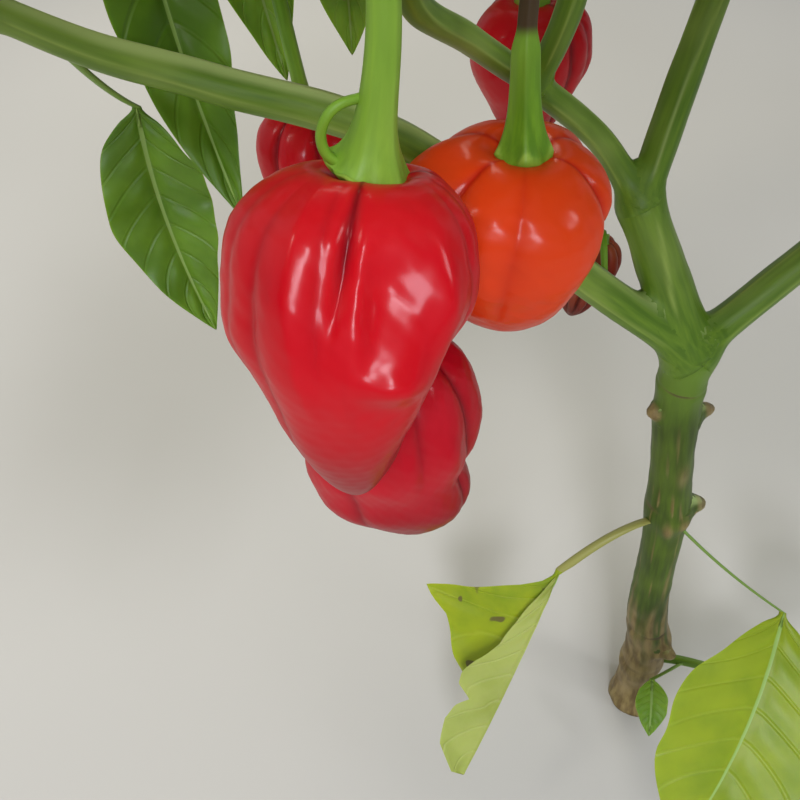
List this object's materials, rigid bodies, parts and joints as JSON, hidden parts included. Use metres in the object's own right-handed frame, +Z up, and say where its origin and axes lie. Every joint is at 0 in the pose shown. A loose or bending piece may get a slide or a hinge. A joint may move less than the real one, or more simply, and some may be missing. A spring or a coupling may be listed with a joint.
{
  "type": "chilli pepper plant",
  "caption": "Rooted pepper plant: a leaning green stem with a corky foot forks into boughs with leafy crowns and hanging, wrinkled lantern-shaped red and orange fruit.",
  "frame": {"origin": "middle of the flat cut under the main stem, at ground level", "axes": "+Z up; the picture was taken from the front (-Y side), looking along +Y and 50 degrees down; +X to the picture's right"},
  "size_m": [0.6859, 0.6051, 0.5409],
  "materials": {
    "corky_stem": "matt, corky at the foot and green above",
    "green_stem": "satin green skin with paler ridges",
    "foliage": "satin",
    "yellow_leaf": "satin",
    "red_fruit": "glossy, wrinkled skin",
    "orange_fruit": "glossy, wrinkled skin",
    "withered_fruit": "dull, dried skin"
  },
  "bodies": {
    "root": {"bough_back": "green_stem", "bough_back_left": "green_stem", "bough_back_top": "green_stem", "bough_centre": "green_stem", "bough_front": "green_stem", "bough_front_left": "green_stem", "bough_front_top": "green_stem", "bough_inner": "green_stem", "bough_inner_top": "green_stem", "bough_left": "green_stem", "bough_left_back": "green_stem", "bough_left_front": "green_stem", "bough_left_top": "green_stem", "bough_low_front": "green_stem", "bough_low_side": "green_stem", "bough_middle": "green_stem", "bough_right": "green_stem", "bough_right_back": "green_stem", "bough_right_front": "green_stem", "bough_right_side": "green_stem", "bough_right_top": "green_stem", "bough_top": "green_stem", "bough_top_left": "green_stem", "bough_top_right": "green_stem", "foliage_back": "foliage", "foliage_back_left": "foliage", "foliage_back_top": "foliage", "foliage_front_left": "foliage", "foliage_front_top": "foliage", "foliage_left_back": "foliage", "foliage_left_front": "foliage", "foliage_left_top": "foliage", "foliage_low_front": "foliage", "foliage_low_side": "foliage", "foliage_right_back": "foliage", "foliage_right_side": "foliage", "foliage_right_top": "foliage", "foliage_top": "foliage", "foliage_top_left": "foliage", "foliage_top_right": "foliage", "fruit_back": "red_fruit", "fruit_behind_left": "red_fruit", "fruit_front": "red_fruit", "fruit_high": "red_fruit", "fruit_lower": "red_fruit", "fruit_orange": "orange_fruit", "fruit_withered": "withered_fruit", "leaf_hanging_back": "foliage", "leaf_hanging_bright": "foliage", "leaf_hanging_far_left": "foliage", "leaf_hanging_left": "foliage", "leaf_low_bright": "yellow_leaf", "leaf_low_yellow": "yellow_leaf", "shoot_low": "foliage", "stem": "corky_stem"}
  },
  "joints": []
}
